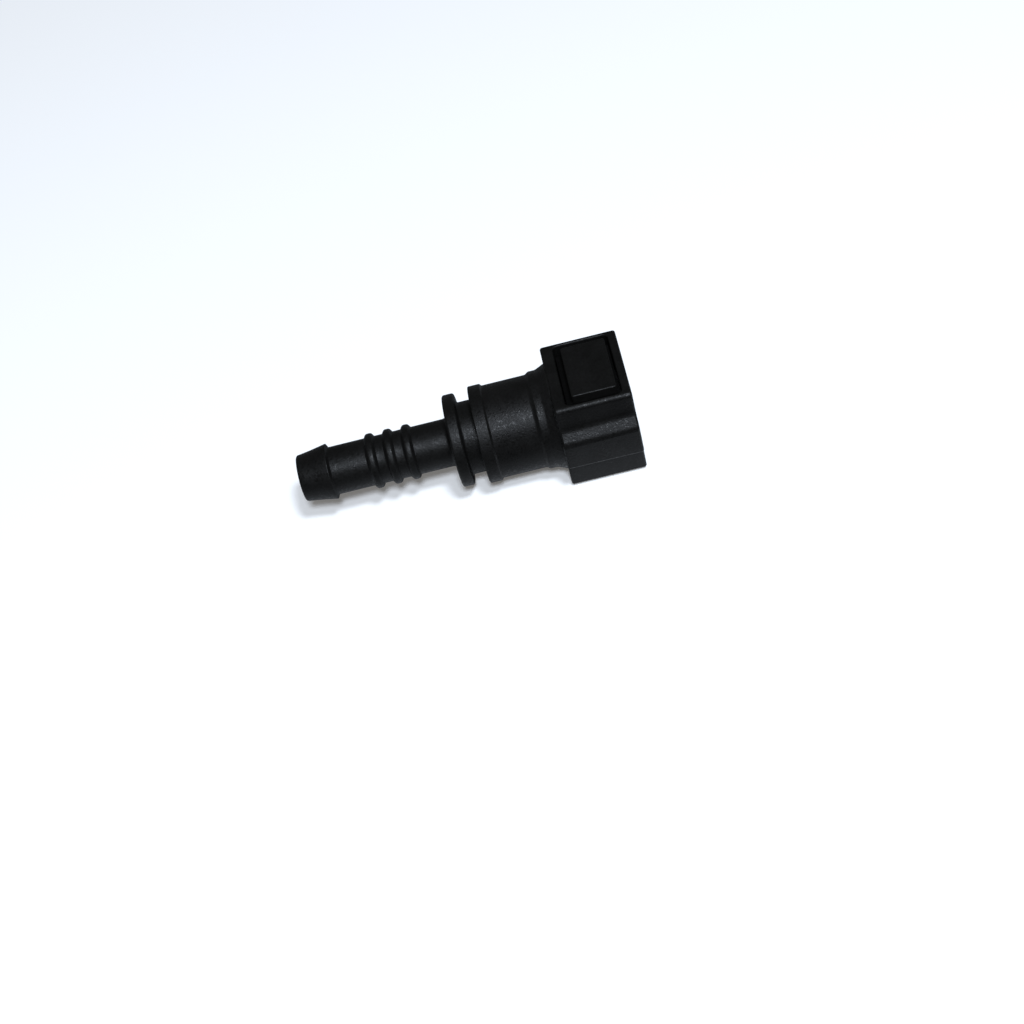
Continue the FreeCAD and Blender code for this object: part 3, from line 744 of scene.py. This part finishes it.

# %% [markdown]
# ## Floor and light
# The photograph is a product shot on white, with its light close above the lens. Two soft lamps give
# the same long highlight on each round part: one just above the line of view, and one higher and to
# the right. The floor is a pale diffuse surface. Camera rays see it in one pale grey, with a little
# light of its own added, so that it stays white while the shadow under the part is kept. To all other
# rays its colour changes with the place, which paints the reflections that the lower sides of the part
# mirror: nearly black far in front of the part, darker under and behind it, about half along the stem
# and body, and white in front of the head. The world is dim, as a dark room, and white to the camera.

# %% The floor
FLOOR_HALF = 2.0
floor_mesh = bmesh.new()
bmesh.ops.create_grid(floor_mesh, x_segments=1, y_segments=1, size=FLOOR_HALF)
bmesh.ops.translate(floor_mesh, verts=floor_mesh.verts, vec=(0.0, 0.0, cad_bounds[0][2]))
floor_data = bpy.data.meshes.new("floor")
floor_mesh.to_mesh(floor_data)
floor_mesh.free()
floor = bpy.data.objects.new("floor", floor_data)
bpy.context.scene.collection.objects.link(floor)
print("floor at", round(cad_bounds[0][2] / MM, 2), "mm")

# %% The floor's colour for the rays that the part mirrors, which paints the part's reflections
floor_material = bpy.data.materials.new("white table")
floor_material.use_nodes = True
nodes, links = floor_material.node_tree.nodes, floor_material.node_tree.links
nodes.clear()
place = nodes.new("ShaderNodeTexCoord")
axes = nodes.new("ShaderNodeSeparateXYZ")
links.new(place.outputs["Object"], axes.inputs["Vector"])


def fade(axis, near, far, at_near, at_far):
    """A value that passes smoothly from one level to another between two places on an axis."""
    node = nodes.new("ShaderNodeMapRange")
    node.interpolation_type = "SMOOTHSTEP"
    node.inputs["From Min"].default_value = near * MM
    node.inputs["From Max"].default_value = far * MM
    node.inputs["To Min"].default_value = at_near
    node.inputs["To Max"].default_value = at_far
    links.new(axes.outputs[axis], node.inputs["Value"])
    return node.outputs["Result"]


def multiply(first, second):
    node = nodes.new("ShaderNodeMath")
    node.operation = "MULTIPLY"
    links.new(first, node.inputs[0])
    links.new(second, node.inputs[1])
    return node.outputs[0]


# Painted reflection: for all but camera rays the floor is darker far in front of and behind the part, about
# half along the stem and body, and white in front of the head.
across = multiply(fade("Y", -24.5, -17.5, 0.04, 1.0), fade("Y", -5.0, 3.0, 1.0, 0.30))
along = multiply(fade("X", -34.0, -30.0, 0.64, 0.49), fade("X", -17.0, -12.0, 1.0, 2.04))
print("floor colour fades along X and across Y")

# %% The floor's colour for the camera, and its own light
CAMERA_GREY, OWN_LIGHT = 0.84, 0.14
path = nodes.new("ShaderNodeLightPath")
colour = nodes.new("ShaderNodeMix")
colour.data_type = "RGBA"
colour.inputs["B"].default_value = (CAMERA_GREY, CAMERA_GREY, CAMERA_GREY, 1.0)
links.new(path.outputs["Is Camera Ray"], colour.inputs["Factor"])
links.new(multiply(across, along), colour.inputs["A"])
paint = nodes.new("ShaderNodeBsdfPrincipled")
paint.inputs["Roughness"].default_value = 1.0
paint.inputs["Specular IOR Level"].default_value = 0.0
paint.inputs["Emission Color"].default_value = (1.0, 0.97, 0.93, 1.0)
own = nodes.new("ShaderNodeMath")
own.operation = "MULTIPLY"
own.inputs[1].default_value = OWN_LIGHT
output = nodes.new("ShaderNodeOutputMaterial")
links.new(path.outputs["Is Camera Ray"], own.inputs[0])
links.new(own.outputs[0], paint.inputs["Emission Strength"])
links.new(colour.outputs["Result"], paint.inputs["Base Color"])
links.new(paint.outputs[0], output.inputs["Surface"])
floor.data.materials.append(floor_material)
print("floor grey to the camera:", CAMERA_GREY)

# %% The two lamps
LAMP_DISTANCE, LAMP_SIZE, LAMP_COLOUR = 1.0, 0.16, (0.92, 1.0, 1.11)
middle = Vector((TIP / 2, 0.0, 0.0)) * MM
towards_camera = (camera_place - middle).normalized()


def add_lamp(name, above_view, to_the_right, energy):
    """A soft round lamp, turned away from the camera by two angles about the middle of the part."""
    raised = Matrix.Rotation(math.radians(-above_view), 3, "X") @ towards_camera
    towards_lamp = Matrix.Rotation(math.radians(to_the_right), 3, "Z") @ raised
    data = bpy.data.lights.new(name, "AREA")
    data.shape = "DISK"
    data.size = LAMP_SIZE
    data.energy = energy
    data.color = LAMP_COLOUR
    lamp = bpy.data.objects.new(name, data)
    bpy.context.scene.collection.objects.link(lamp)
    lamp.matrix_world = (Matrix.Translation(middle + towards_lamp * LAMP_DISTANCE)
                         @ towards_lamp.to_track_quat("Z", "Y").to_matrix().to_4x4())
    print(name, "elevation", round(math.degrees(math.asin(towards_lamp.z)), 1))


add_lamp("lamp by the lens", above_view=8.5, to_the_right=0.0, energy=6.6)
add_lamp("lamp above", above_view=18.0, to_the_right=22.0, energy=6.4)

# %% The world
ROOM_LIGHT = 0.09
world = bpy.data.worlds.new("room")
bpy.context.scene.world = world
world.use_nodes = True
nodes, links = world.node_tree.nodes, world.node_tree.links
background = nodes["Background"]
path = nodes.new("ShaderNodeLightPath")
level = nodes.new("ShaderNodeMapRange")
level.inputs["To Min"].default_value = ROOM_LIGHT
level.inputs["To Max"].default_value = 1.0
links.new(path.outputs["Is Camera Ray"], level.inputs["Value"])
links.new(level.outputs["Result"], background.inputs["Strength"])
background.inputs["Color"].default_value = (1.0, 1.0, 1.0, 1.0)
print("room light:", ROOM_LIGHT, "and white to the camera")

# %% Finish: view settings
bpy.context.scene.view_settings.view_transform = "Standard"
